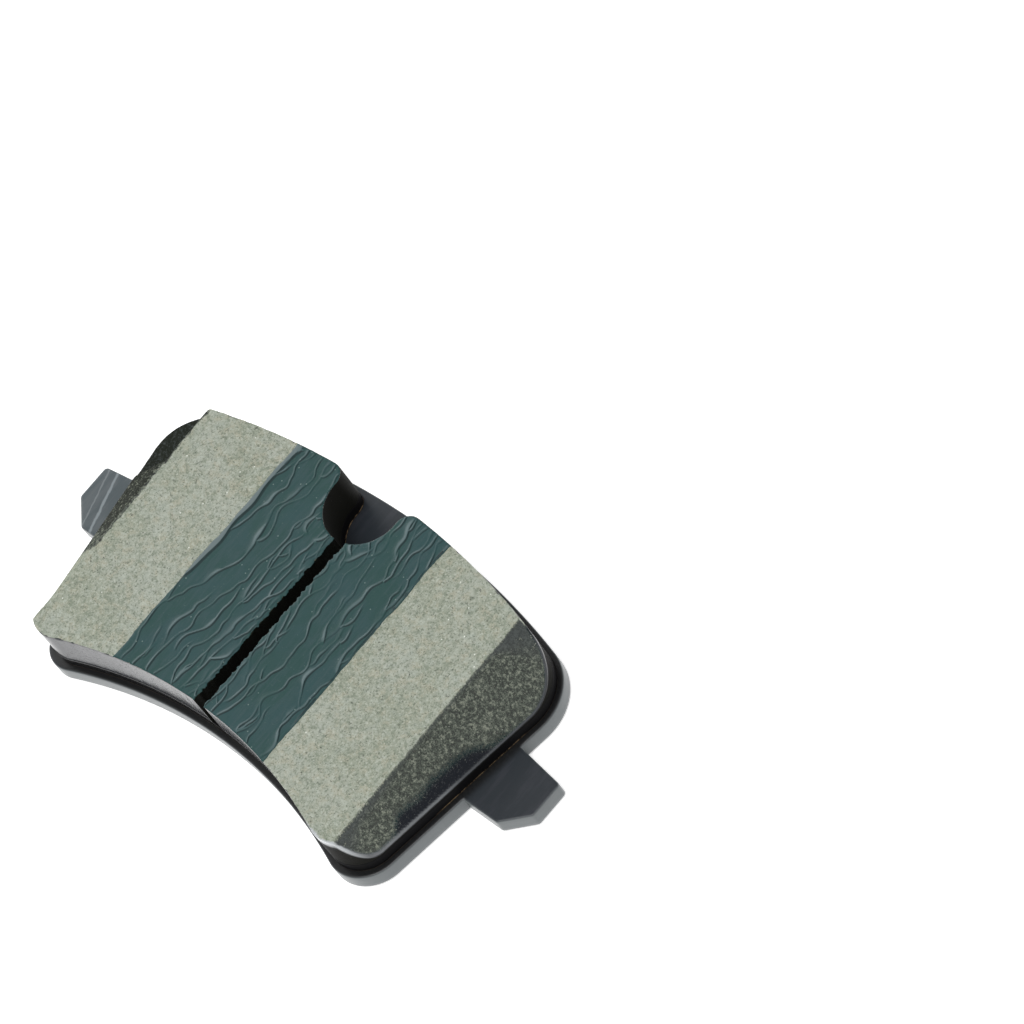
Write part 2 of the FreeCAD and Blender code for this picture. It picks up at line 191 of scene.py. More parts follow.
def cut_corners(points, radius, step):
    """A path through points whose middle ones are rounded, without its last point."""
    runs = []
    here = np.array(points[0], float)
    for before, corner, after in zip(points[:-2], points[1:-1], points[2:]):
        before, corner, after = (np.array(p, float) for p in (before, corner, after))
        back, ahead = unit(before - corner), unit(after - corner)
        half = math.acos(float(np.clip(back @ ahead, -1, 1))) / 2
        first = corner + back * radius / math.tan(half)
        last = corner + ahead * radius / math.tan(half)
        centre = corner + unit(back + ahead) * radius / math.sin(half)
        turn = angle_from(centre, last) - angle_from(centre, first)
        turn = (turn + math.pi) % (2 * math.pi) - math.pi
        runs.append(run(here, first, step))
        runs.append(arc(centre, radius, angle_from(centre, first),
                        angle_from(centre, first) + turn, min(step, radius / 4)))
        here = last
    runs.append(run(here, points[-1], step))
    return np.vstack(runs)


def end_runs(side, layer, start_x, step, ear=False):
    """From a point of the inner arc, out round one end, and up to the outer arc.

    Returns the points and the centre of the outer corner's rounding, below where they reach that arc."""
    inner_centre, outer_centre = arc_centres(side)
    foot = np.array((layer["end_x"], CROWN_Y))
    inner_corner = layer["inner_corner"][side]
    along = np.array((math.sin(LEAN), math.cos(LEAN)))
    inward = np.array((-math.cos(LEAN), math.sin(LEAN)))
    low = rounding_centre(foot, along, inward, inner_corner, inner_centre, layer["inner"] + inner_corner)
    high = rounding_centre(foot, along, inward, layer["outer_corner"], outer_centre,
                           layer["outer"] - layer["outer_corner"])
    start = on_arc(inner_centre, layer["inner"], start_x)
    low_end = low - inward * inner_corner
    high_start = high - inward * layer["outer_corner"]
    runs = [sweep(inner_centre, layer["inner"], start, low, step),
            arc(low, inner_corner, angle_from(low, inner_centre), -LEAN, step)]
    if ear:
        roots = [foot + along * (y - CROWN_Y) / along[1] for y in EAR_ROOTS_Y]
        runs.append(run(low_end, roots[0], step))
        runs.append(cut_corners([roots[0], *EAR, roots[1]], EAR_CORNER, step))
        runs.append(run(roots[1], high_start, step))
    else:
        runs.append(run(low_end, high_start, step))
    runs.append(arc(high, layer["outer_corner"], -LEAN, angle_from(outer_centre, high), step))
    return np.vstack(runs), high


def notch_runs(side, layer, start, slot_x, step):
    """Along the outer arc in to the notch's shoulder, down its wall and round to the slot."""
    outer_centre = arc_centres(side)[1]
    bowl = np.array((side * NOTCH_X, NOTCH_Y))
    wall_x = bowl[0] + NOTCH_RADIUS
    shoulder = rounding_centre(np.array((wall_x, 0.0)), np.array((0.0, 1.0)), np.array((1.0, 0.0)),
                               SHOULDER, outer_centre, layer["outer"] - SHOULDER)
    last = -math.acos((slot_x - bowl[0]) / NOTCH_RADIUS)
    return np.vstack((
        sweep(outer_centre, layer["outer"], start, shoulder, step),
        arc(shoulder, SHOULDER, angle_from(outer_centre, shoulder), math.pi, step),
        run((wall_x, shoulder[1]), (wall_x, NOTCH_Y), step),
        arc(bowl, NOTCH_RADIUS, 0.0, last, step)))


def slot_wall_x(side):
    return side * ARC_X + SLOT_HALF


def slot_run(side, step):
    """Down a slot wall, from the notch to the lining's inner arc."""
    x = slot_wall_x(side)
    bowl_y = NOTCH_Y - math.sqrt(NOTCH_RADIUS ** 2 - (x - side * NOTCH_X) ** 2)
    return run((x, bowl_y), on_arc(arc_centres(side)[0], LINING["inner"], x), step)


def placed(points, side):
    """Mirrors a right-hand outline to its side and keeps it anticlockwise."""
    return points if side > 0 else (points * (-1, 1))[::-1]


def block_outline(side, step):
    """Outline of one friction block."""
    slot_x = slot_wall_x(side)
    ends, high = end_runs(side, LINING, slot_x, step)
    notch = notch_runs(side, LINING, high, slot_x, step)
    return placed(np.vstack((ends, notch, slot_run(side, step))), side)


def strip_outline(side, step):
    """Outline of one coating strip, before its edges are roughened."""
    slot_x, edge_x = slot_wall_x(side), STRIP_EDGE[side]
    inner_centre, outer_centre = arc_centres(side)
    first = on_arc(inner_centre, LINING["inner"], slot_x)
    second = on_arc(inner_centre, LINING["inner"], edge_x)
    third = on_arc(outer_centre, LINING["outer"], edge_x)
    return placed(np.vstack((
        sweep(inner_centre, LINING["inner"], first, second, step),
        run(second, third, step),
        notch_runs(side, LINING, third, slot_x, step),
        slot_run(side, step))), side)


def whole_outline(layer, step, notch=False, ear=False):
    """Outline of a layer that runs from end to end."""
    halves = []
    for side in (1, -1):
        ends, high = end_runs(side, layer, 0.0, step, ear)
        if notch:
            rest = notch_runs(side, layer, high, side * NOTCH_X, step)
        else:
            centre, radius = arc_centres(side)[1], layer["outer"]
            rest = sweep(centre, radius, high, on_arc(centre, radius, 0.0), step)
        halves.append(placed(np.vstack((ends, rest)), side))
    right_half, left_half = halves
    return np.vstack((right_half, left_half[:-1]))


def circle_outline(centre, radius, step):
    return arc(centre, radius, 0.0, 2 * math.pi, step)


def outward(loop):
    """Unit normals of an anticlockwise loop."""
    ahead = unit(np.roll(loop, -1, axis=0) - np.roll(loop, 1, axis=0))
    return np.column_stack((ahead[:, 1], -ahead[:, 0]))


def inside(points, loop):
    """Which points lie within a loop."""
    result = np.zeros(len(points), bool)
    x, y = points.T
    for (ax, ay), (bx, by) in zip(loop, np.roll(loop, -1, axis=0)):
        if ay == by:
            continue
        crosses = (ay > y) != (by > y)
        result ^= crosses & (x < (bx - ax) * (y - ay) / (by - ay) + ax)
    return result


def from_corners(loop):
    """Distance from each point of a loop to its nearest sharp corner."""
    ahead = unit(np.roll(loop, -1, axis=0) - loop)
    straight = (ahead * np.roll(ahead, 1, axis=0)).sum(1)
    return distance_to(loop, loop[straight < 0.8])


def distance_to(points, loop):
    """Distance from each point to the nearest point of a dense loop."""
    result = np.full(len(points), 1e9)
    for start in range(0, len(points), 4000):
        part = points[start:start + 4000]
        gap = ((part[:, None, :] - loop[None, :, :]) ** 2).sum(2)
        result[start:start + 4000] = np.sqrt(gap.min(1))
    return result


# ---- meshes

def grid_inside(loop, spacing, margin):
    """A triangular grid of points within a loop, clear of its edge."""
    low, high = loop.min(0), loop.max(0)
    rows = []
    for k, y in enumerate(np.arange(low[1], high[1], spacing * math.sqrt(3) / 2)):
        xs = np.arange(low[0] + (k % 2) * spacing / 2, high[0], spacing)
        rows.append(np.column_stack((xs, np.full(len(xs), y))))
    points = np.vstack(rows)
    points = points[inside(points, loop)]
    return points[distance_to(points, loop) > margin]


def triangles(loops, inner):
    """Triangles over the region inside the first loop and outside the others.

    Corners are numbered through the loops in turn, and then through the inner points."""
    points = np.vstack([*loops, inner])
    edges, first = [], 0
    for loop in loops:
        count = len(loop)
        edges += [(first + i, first + (i + 1) % count) for i in range(count)]
        first += count
    _, _, faces, origins, _, _ = delaunay_2d_cdt([tuple(p) for p in points], edges, [], 0, TINY)
    number = np.array([o[0] if o else -1 for o in origins])
    faces = number[np.array(faces)]
    middle = points[faces].mean(1)
    a, b, c = (points[faces[:, k]] for k in range(3))
    turn = (b[:, 0] - a[:, 0]) * (c[:, 1] - a[:, 1]) - (b[:, 1] - a[:, 1]) * (c[:, 0] - a[:, 0])
    keep = inside(middle, loops[0]) & (faces.min(1) >= 0) & (np.abs(turn) > TINY)
    for hole in loops[1:]:
        keep &= ~inside(middle, hole)
    faces[turn < 0] = faces[turn < 0][:, ::-1]
    return faces[keep]


def new_object(name, data):
    """An object in the scene."""
    made = bpy.data.objects.new(name, data)
    bpy.context.scene.collection.objects.link(made)
    return made


class Builder:
    """Collects the corners and faces of one piece."""

    def __init__(self):
        self.corners, self.count = [], 0
        self.quads, self.triangles = [np.zeros((0, 4), int)], [np.zeros((0, 3), int)]

    def add(self, corners):
        """Adds corners and returns their numbers."""
        self.corners.append(np.asarray(corners, float))
        numbers = np.arange(self.count, self.count + len(corners))
        self.count += len(corners)
        return numbers

    def wall(self, rows):
        """Joins rings of corner numbers, bottom first; anticlockwise rings face outwards."""
        for low, high in zip(rows[:-1], rows[1:]):
            self.quads.append(np.column_stack((low, np.roll(low, -1), np.roll(high, -1), high)))

    def stack(self, loop, bottom, profile):
        """A wall of rings, each given by its inset and its height above the bottom."""
        rings = [self.add(ring_at(loop, inset, bottom + z)) for inset, z in profile]
        self.wall(rings)
        return rings

    def rim(self, ring):
        """Plan of a ring."""
        return np.vstack(self.corners)[ring][:, :2]

    def cap(self, rings, inner=(), down=False):
        """Fills the region inside the first ring and outside the others, through inner corners."""
        points = np.vstack(self.corners)
        inner = np.array(inner, int)
        numbers = np.concatenate([*rings, inner]).astype(int)
        faces = numbers[triangles([points[ring][:, :2] for ring in rings], points[inner][:, :2])]
        self.triangles.append(faces[:, ::-1] if down else faces)

    def mesh_object(self, name, material, points=None, smooth_angle=40.0, **attributes):
        """Makes the object, with its corner values as mesh attributes."""
        points = np.vstack(self.corners) if points is None else points
        quads, threes = np.vstack(self.quads), np.vstack(self.triangles)
        sizes = np.concatenate((np.full(len(quads), 4), np.full(len(threes), 3)))
        mesh = bpy.data.meshes.new(name)
        mesh.vertices.add(len(points))
        mesh.vertices.foreach_set("co", (points * MM).ravel())
        mesh.loops.add(int(sizes.sum()))
        mesh.loops.foreach_set("vertex_index", np.concatenate((quads.ravel(), threes.ravel())))
        mesh.polygons.add(len(sizes))
        mesh.polygons.foreach_set("loop_start", np.cumsum(sizes) - sizes)
        mesh.update(calc_edges=True)
        for key, values in attributes.items():
            attribute = mesh.attributes.new(key, "FLOAT", "POINT")
            attribute.data.foreach_set("value", np.asarray(values, np.float32))
        mesh.polygons.foreach_set("use_smooth", np.ones(len(sizes), bool))
        mesh.set_sharp_from_angle(angle=math.radians(smooth_angle))
        mesh.materials.append(material)
        return new_object(name, mesh)

    def relaxed(self, points, weight, rounds):
        """Moves corners towards the middle of their neighbours, by weight."""
        pairs = []
        for block in (*self.quads, *self.triangles):
            pairs.append(np.column_stack((block.ravel(), np.roll(block, -1, axis=1).ravel())))
        pairs = np.unique(np.sort(np.vstack(pairs), axis=1), axis=0)
        near = np.concatenate((pairs, pairs[:, ::-1]))
        number = np.maximum(np.bincount(near[:, 0], minlength=len(points)), 1)[:, None]
        points = points.copy()
        for _ in range(rounds):
            total = np.column_stack([np.bincount(near[:, 0], points[near[:, 1], k], len(points))
                                     for k in range(3)])
            points += weight[:, None] * (total / number - points)
        return points


def ring_at(loop, inset, z):
    """A loop moved inwards and put at a height, which may vary along it."""
    moved = loop - outward(loop) * np.asarray(inset, float).reshape(-1, 1)
    return np.column_stack((moved, np.broadcast_to(z, len(loop))))


# ---- material helpers

def add_node(tree, kind, inputs=None, **settings):
    """Adds a shader node and returns its outputs; inputs are sockets to link or plain values."""
    made = tree.nodes.new("ShaderNode" + kind)
    for key, value in settings.items():
        setattr(made, key, value)
    for key, value in (inputs or {}).items():
        if isinstance(value, bpy.types.NodeSocket):
            tree.links.new(value, made.inputs[key])
        else:
            made.inputs[key].default_value = value
    return made.outputs


class Look:
    """A material in the making, with one Principled shader.

    Most calls add nodes and return an output; plug links the finished values."""

    def __init__(self, name, **constants):
        """The constants are set on the shader's own sockets."""
        self.material = bpy.data.materials.new(name)
        self.material.use_nodes = True
        self.tree = self.material.node_tree
        self.shader = self.tree.nodes["Principled BSDF"]
        for key, value in constants.items():
            self.shader.inputs[key.replace("_", " ")].default_value = value
        self.here = self.position()

    def add(self, kind, inputs=None, **settings):
        return add_node(self.tree, kind, inputs, **settings)

    def position(self, stretch=(1, 1, 1)):
        """Place on the object in millimetres, stretched along the axes."""
        place = self.add("TexCoord")["Object"]
        scale = tuple(1 / MM * s for s in stretch)
        return self.add("VectorMath", {0: place, 1: scale}, operation="MULTIPLY")[0]

    def noise(self, scale, detail=3.0, roughness=0.55, distortion=0.0, stretch=None):
        """Noise whose bumps are about 1 / scale millimetres wide."""
        place = self.position(stretch) if stretch else self.here
        inputs = {"Vector": place, "Scale": scale, "Detail": detail, "Roughness": roughness,
                  "Distortion": distortion}
        return self.add("TexNoise", inputs)["Fac"]

    def specks(self, scale, radius, low, high):
        """1 on a few of many scattered specks, those whose random value is over about low to high."""
        specks = self.add("TexVoronoi", {"Vector": self.here, "Scale": scale})
        pick = self.add("SeparateColor", {"Color": specks["Color"]})["Red"]
        near = self.between(specks["Distance"], radius, radius - 0.1)
        return self.times(near, self.between(pick, low, high))

    def between(self, value, low, high, to_low=0.0, to_high=1.0):
        """Maps a range to another, smoothly and clamped."""
        inputs = {"Value": value, "From Min": low, "From Max": high, "To Min": to_low, "To Max": to_high}
        return self.add("MapRange", inputs, interpolation_type="SMOOTHSTEP")["Result"]

    def calc(self, operation, first, second=0.0):
        return self.add("Math", {0: first, 1: second}, operation=operation)[0]

    def times(self, first, second):
        return self.calc("MULTIPLY", first, second)

    def mix(self, share, first, second):
        """Blends two colours, each an output or three numbers."""
        inputs = {"Factor": share, 6: first, 7: second}
        for key in (6, 7):
            if isinstance(inputs[key], tuple):
                inputs[key] = (*inputs[key], 1.0)
        return self.add("Mix", inputs, data_type="RGBA")[2]

    def fade(self, first, second, value, low, high, most=1.0):
        """From the first colour towards the second as a value goes from low to high."""
        return self.mix(self.between(value, low, high, 0.0, most), first, second)

    def blend(self, share, first, second):
        """Blends two numbers."""
        return self.add("Mix", {0: share, 2: first, 3: second})[0]

    def corners(self, *names):
        """Values that the mesh carries at its corners."""
        return [self.add("Attribute", attribute_name=name)["Fac"] for name in names]

    def bump(self, height, strength, distance):
        """Bump from a height that is in millimetres times distance."""
        inputs = {"Height": height, "Strength": strength, "Distance": distance * MM}
        return self.add("Bump", inputs)["Normal"]

    def plug(self, **sockets):
        """Links values to the shader's sockets and returns the material."""
        for key, value in sockets.items():
            self.tree.links.new(value, self.shader.inputs[key.replace("_", " ")])
        return self.material


# ---- materials

def compound_parts(look):
    """Colour, height and glints of bare friction compound."""
    tint = look.noise(0.4)
    mottle = look.noise(0.85, 4.0, 0.66)
    grains = look.noise(2.0, 2.0, 0.65)
    fleck = look.between(look.noise(1.25, 3.0, 0.75, 0.8), 0.38, 0.31)
    base = look.fade((0.286, 0.312, 0.248), (0.33, 0.356, 0.3), look.noise(0.06), 0.38, 0.62)
    for colour, value, low, high, most in (
            ((0.358, 0.345, 0.262), tint, 0.48, 0.66, 0.55),
            ((0.3, 0.345, 0.31), tint, 0.44, 0.32, 0.25),
            ((0.19, 0.222, 0.168), mottle, 0.49, 0.37, 0.75),
            ((0.43, 0.46, 0.4), mottle, 0.54, 0.66, 0.6),
            ((0.48, 0.5, 0.43), grains, 0.56, 0.68, 0.6),
            ((0.12, 0.14, 0.105), grains, 0.42, 0.33, 0.8)):
        base = look.fade(base, colour, value, low, high, most)
    base = look.mix(look.times(fleck, 0.85), base, (0.045, 0.052, 0.04))
    glint = look.specks(0.9, 0.22, 0.978, 0.982)
    height = look.calc("ADD", look.times(grains, 0.7), mottle)
    height = look.calc("SUBTRACT", height, look.times(fleck, 0.3))
    return look.mix(glint, base, (0.7, 0.72, 0.66)), height, glint


def friction_material():
    """Pressed compound, with overspray and paint where the corner values say so."""
    look = Look("friction_compound")
    base, height, glint = compound_parts(look)
    soot, paint, smooth, dull, painted_highlight = look.corners("soot", "paint", "smooth", "dull", "painted_highlight")
    clumps = look.noise(0.95, 3.0, 0.7)
    grit = look.noise(2.2, 3.0, 0.8)
    dust = look.times(look.calc("ADD", clumps, grit), 0.5)
    dusted = look.between(look.calc("ADD", soot, dust), 0.9, 1.06)
    dark = look.fade((0.009, 0.012, 0.01), (0.072, 0.085, 0.067), dust, 0.43, 0.52)
    dark = look.fade(dark, (0.22, 0.235, 0.185), dust, 0.525, 0.6, 0.9)
    even = look.fade((0.022, 0.027, 0.026), (0.058, 0.067, 0.064), dust, 0.4, 0.6)
    dark = look.mix(smooth, dark, even)
    dark = look.fade(dark, (0.014, 0.017, 0.012), look.calc("SUBTRACT", soot, dust), 0.6, 0.8)
    ragged = look.times(look.calc("SUBTRACT", grit, 0.5), 2.6)
    covered = look.between(look.calc("ADD", paint, ragged), 0.32, 0.74)
    sprayed = look.fade((0.0055, 0.02, 0.019), (0.0035, 0.0055, 0.0095), paint, 0.55, 0.95)
    colour = look.mix(covered, look.mix(dusted, base, dark), sprayed)
    colour = look.mix(look.times(covered, dull), colour, (0.0085, 0.0085, 0.007))
    # Painted highlight: a pale colour on the lip and round the near corner, where their reflection would be
    colour = look.mix(painted_highlight, colour, look.mix(grit, (0.42, 0.45, 0.47), (0.56, 0.58, 0.59)))
    bare_rough = look.between(dusted, 0.0, 1.0, 0.9, 0.7)
    rough = look.blend(covered, bare_rough, look.blend(dull, 0.16, 0.6))
    relief = look.blend(covered, height, look.times(clumps, 0.1))
    return look.plug(Base_Color=colour, Roughness=look.blend(glint, rough, 0.3),
                     Specular_IOR_Level=look.blend(dull, 0.42, 0.04),
                     Normal=look.bump(relief, 0.6, 0.2))


def gloss_paint_material():
    """Black paint on the underlayer: gloss, but dull or rusty where the corner values say so."""
    look = Look("gloss_black_paint")
    dull, rust = look.corners("dull", "rust")
    dust = look.noise(2.4, 4.0, 0.65)
    colour = look.mix(look.noise(0.16), (0.0035, 0.004, 0.0055), (0.007, 0.0065, 0.006))
    colour = look.fade(colour, (0.05, 0.045, 0.035), dust, 0.68, 0.8, 0.5)
    patchy = look.between(look.noise(0.7, 3.0, 0.7), 0.34, 0.6)
    colour = look.mix(look.times(rust, patchy), colour, (0.42, 0.3, 0.175))
    shiny = look.between(dust, 0.3, 0.8, 0.1, 0.24)
    return look.plug(Base_Color=colour, Roughness=look.blend(dull, shiny, 0.5),
                     Specular_IOR_Level=look.blend(dull, 0.5, 0.04),
                     Normal=look.bump(look.noise(0.55, 2.0), 0.2, 0.06))


def highlight_line(look, normal, offset, half_width):
    """1 along a straight painted highlight line across the plan, whose unit normal and offset in
    millimetres are given.
    """
    across = look.add("VectorMath", {0: look.here, 1: normal}, operation="DOT_PRODUCT")["Value"]
    wobble = look.times(look.noise(0.5), 0.8)
    away = look.calc("ABSOLUTE", look.calc("ADD", look.calc("SUBTRACT", across, offset), wobble))
    return look.between(away, half_width, 0.3 * half_width)


def plate_material():
    """Painted plate: satin on top, black round the lining, paler on the edge, paler on the left ear, with
    painted highlight lines across it.
    """
    look = Look("painted_plate", Specular_IOR_Level=0.45)
    side, rubbed, foot = look.corners("side", "rubbed", "foot")
    grit = look.noise(1.6, 4.0, 0.6)
    drawn = look.noise(0.25, 3.0, 0.5, stretch=(1.0, 1.0, 0.3))
    lines = look.noise(0.55, 4.0, 0.6, stretch=(1.0, 0.14, 1.0))
    top = look.mix(look.noise(0.12), (0.014, 0.019, 0.025), (0.019, 0.024, 0.03))
    top = look.fade(top, (0.03, 0.033, 0.042), lines, 0.46, 0.66, 0.6)
    top = look.mix(foot, top, (0.004, 0.0045, 0.005))
    pale_ear_and_highlights = look.fade((0.05, 0.068, 0.076), (0.078, 0.094, 0.102), lines, 0.36, 0.64)
    # Two pale painted highlight lines across the left ear, where a fine step would catch the light
    for offset, half_width, pale in ((-70.8, 0.55, (0.19, 0.22, 0.235)), (-73.6, 0.35, (0.14, 0.16, 0.17))):
        pale_ear_and_highlights = look.mix(highlight_line(look, (0.949, 0.314, 0.0), offset, half_width), pale_ear_and_highlights, pale)
    edge = look.mix(drawn, (0.112, 0.126, 0.13), (0.13, 0.144, 0.148))
    colour = look.mix(side, look.mix(rubbed, top, pale_ear_and_highlights), edge)
    rough = look.blend(side, look.between(grit, 0.3, 0.7, 0.34, 0.46), 0.3)
    return look.plug(Base_Color=colour, Roughness=rough,
                     Normal=look.bump(look.blend(side, grit, drawn), 0.15, 0.015))


def coating_material():
    """Teal bedding-in coating with ridges; the ridges and the lip get a paler painted highlight and the
    coating just right of them a dark painted shade.
    """
    look = Look("teal_coating", Specular_IOR_Level=0.28)
    ridge, lee = look.corners("ridge", "lee")
    fine = look.noise(1.5, 4.0, 0.6)
    drag = look.noise(1.1, 4.0, 0.6, stretch=(1.0, 0.14, 1.0))
    flat = look.fade((0.013, 0.053, 0.049), (0.017, 0.057, 0.06), look.noise(0.09), 0.35, 0.65)
    flat = look.fade(flat, (0.026, 0.062, 0.066), drag, 0.42, 0.7, 0.8)
    flat = look.fade(flat, (0.06, 0.1, 0.092), fine, 0.6, 0.75, 0.5)
    # Painted highlight: the ridges and the raised lip are painted paler, as if lit from the left
    high = look.mix(fine, (0.07, 0.122, 0.128), (0.13, 0.175, 0.182))
    colour = look.fade(flat, high, ridge, 0.2, 0.9)
    colour = look.fade(colour, (0.118, 0.155, 0.16), ridge, 1.05, 1.5)
    # Painted shade just to the right of each ridge and the lip, and along the right strip's outer edge
    colour = look.fade(colour, (0.0045, 0.02, 0.021), lee, 0.12, 0.55, 0.92)
    colour = look.mix(look.times(look.specks(0.8, 0.2, 0.9, 0.92), 0.6), colour, (0.17, 0.24, 0.22))
    return look.plug(Base_Color=colour, Roughness=look.between(fine, 0.3, 0.7, 0.42, 0.56),
                     Normal=look.bump(look.calc("ADD", fine, look.times(drag, 0.8)), 0.35, 0.06))


def glue_material(name, roughness, scale, dark, pale, strength, distance):
    """A cured glue line, mottled between two colours."""
    look = Look(name, Roughness=roughness)
    colour = look.mix(look.noise(scale, 4.0), dark, pale)
    return look.plug(Base_Color=colour, Normal=look.bump(look.noise(2.0), strength, distance))


def shim_rubber_material():
    """Fine grey-black rubber skin of the shim."""
    look = Look("shim_rubber", Specular_IOR_Level=0.35)
    grain = look.noise(4.0, 3.0, 0.6)
    rub = look.noise(0.5, 5.0, 0.7, stretch=(0.15, 1.0, 1.0))
    colour = look.mix(look.noise(0.08, 4.0), (0.022, 0.023, 0.025), (0.038, 0.039, 0.042))
    colour = look.fade(colour, (0.085, 0.085, 0.088), rub, 0.6, 0.8, 0.5)
    return look.plug(Base_Color=colour, Roughness=look.between(grain, 0.3, 0.7, 0.5, 0.72),
                     Normal=look.bump(grain, 0.4, 0.04))


def shim_steel_material():
    """Cut edge of the shim's steel core."""
    look = Look("shim_steel", Metallic=1.0)
    drawn = look.noise(1.5, 4.0, stretch=(1.0, 1.0, 0.1))
    colour = look.mix(drawn, (0.2, 0.2, 0.21), (0.34, 0.34, 0.35))
    return look.plug(Base_Color=colour, Roughness=look.between(drawn, 0.3, 0.7, 0.35, 0.55),
                     Normal=look.bump(look.noise(3.0), 0.2, 0.02))


# ---- pieces

def attach(piece, slot, *nodes):
    """The piece stands for its CAD nodes and rides on the one body; its slot is not used."""
    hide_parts(*nodes)
    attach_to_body(piece, "root")
    return piece


def chamfer_edge(side, y):
    """Half widths at which a chamfer leaves the face and meets the block's end, at a Y."""
    near, far, _ = CHAMFER[side]
    share = (y - STATIONS_Y[0]) / (STATIONS_Y[1] - STATIONS_Y[0])
    return near + share * (far - near), LINING["end_x"] + (y - CROWN_Y) * math.tan(LEAN)


def face_height(side, points):
    """Height of a block's upper surface, and how far down the chamfer each point is."""
    top, lip = chamfer_edge(side, points[:, 1])
    beyond = side * points[:, 0] - top
    down = np.clip(beyond / (lip - top), 0, None)
    height = FACE - CHAMFER[side][2] * down
    if side < 0:
        height = height - ledge_share(points) * np.maximum(0, height - (FACE - LEDGE_DEPTH))
    return height, down


def ledge_share(points):
    """1 on the left block's low ledge, 0 off it, with a steep rise between."""
    past_top = -points[:, 0] - chamfer_edge(-1, points[:, 1])[0]
    past_edge = points[:, 1] - LEDGE_START[1] + LEDGE_FALL * (-points[:, 0] - LEDGE_START[0])
    return ease(past_top, 0.0, 0.8) * ease(past_edge, -0.2, 0.9)


def dullness(points):
    """1 where the side paint is dull: in slot and notch, and round the ends except the left front."""
    x, y = points[:, :2].T
    ends = np.maximum(ease(x, 44.0, 50.0), ease(-x, 52.0, 58.0) * ease(y, -26.0, -16.0))
    notch = fall(np.abs(x - ARC_X), 20.0, 26.0) * ease(y, 14.0, 20.0)
    slot = fall(np.abs(x - ARC_X), SLOT_HALF + 0.2, SLOT_HALF + 0.7)
    return np.maximum(np.maximum(ends, notch), slot)


def on_slot_wall(loop):
    """Which points of an outline lie on the slot's wall."""
    return np.abs(loop[:, 0] - ARC_X) < SLOT_HALF + 0.05


def friction_block(side, material):
    """One block: grainy face, crumbling edges, painted chamfer and sides."""
    step, margin = 0.4, 0.25
    loop = block_outline(side, step)
    in_slot = on_slot_wall(loop)
    seed = 40 + side
    build = Builder()
    top_z = face_height(side, loop)[0]
    depth = FACE - top_z
    across, along = loop.T
    bare = ease(side * across, STRIP_EDGE[side] - 1.0, STRIP_EDGE[side] + 0.5)
    chip = ease(rough_noise(across, along, 1.5, seed, 4), -0.05, 0.7)
    crumble = (0.06 + 0.55 * chip * bare) * fall(depth, 0.2, 1.0)
    teeth = np.tanh(2.0 * rough_noise(along, across, 1.1, seed + 3))
    wave = np.where(in_slot, 0.24 * teeth, 0.03 * rough_noise(along, across, 1.3, seed + 3))
    shares = (0.0, 0.012, 0.03, 0.08, 0.16, 0.26, 0.38, 0.5, 0.62, 0.74, 0.84, 0.91, 0.955, 0.985, 1.0)
    groove = {0: 0.08, 1: 0.02}
    rings = []
    for k, share in enumerate(shares):
        inset = groove.get(k, 0.0) + wave * (0.4 + 0.6 * share)
        z = LAYER_TOP + share * (top_z - LAYER_TOP)
        if k >= len(shares) - 2:
            part = 1.0 if share == 1.0 else 0.35
            inset = inset + 0.75 * part * crumble
            z = z - 0.45 * part * crumble
        rings.append(build.add(ring_at(loop, inset, z)))
    build.wall(rings)
    rim = build.rim(rings[-1])
    crease_y = np.arange(along.min(), along.max(), step)
    crease = np.column_stack((side * chamfer_edge(side, crease_y)[0], crease_y))
    crease = crease[inside(crease, rim)]
    crease = crease[distance_to(crease, rim) > margin]
    grid = grid_inside(rim, step, margin)
    grid = grid[distance_to(grid, crease) > margin]
    flat = np.vstack((crease, grid))
    z, down_flat = face_height(side, flat)
    inner = build.add(np.column_stack((flat, z)))
    build.cap([rings[-1]], inner)
    build.cap([rings[0]], down=True)
    points = np.vstack(build.corners)

    # A rounded lip where the chamfer meets the sides
    depth_all = face_height(side, points)[1] * CHAMFER[side][2]
    inner_gap = distance_to(flat, rim)
    lip = np.zeros(len(points))
    for k, amount in ((-1, 1.0), (-2, 1.0), (-3, 0.8), (-4, 0.5)):
        lip[rings[k]] = amount
    lip[inner] = np.clip(1.0 - 1.3 * inner_gap, 0, 1)
    points = build.relaxed(points, 0.7 * lip * ease(depth_all, 1.0, 2.5), 6)

    # Grain on the face and the chamfer, none on the painted sides
    x, y = points[:, :2].T
    upper = np.zeros(len(points))
    upper[inner] = np.where(down_flat > 0.0, ease(inner_gap, 0.2, 0.8), 1.0)
    grain = 0.05 * rough_noise(x, y, 0.9, seed + 7) + 0.035 * smooth_noise(x, y, 0.45, seed + 9)
    pits = -0.16 * ease(smooth_noise(x, y, 1.3, seed + 11), 0.55, 0.95)
    points[:, 2] += upper * np.minimum(grain + pits - 0.03, 0.02)
    gap = np.abs(side * x - chamfer_edge(side, y)[0])
    chipped = ease(rough_noise(x, y, 1.6, seed + 13, 4), -0.05, 0.7)
    points[:, 2] -= upper * np.exp(-(gap / 0.55) ** 2) * (0.05 + 0.38 * chipped)

    values = block_values(side, seed, points, rings, inner, shares, in_slot, depth, bare, inner_gap)
    node = f"friction_block_{SIDE_NAME[side]}"
    return attach(build.mesh_object(f"{node}_detail", material, points, **values), "friction", node)


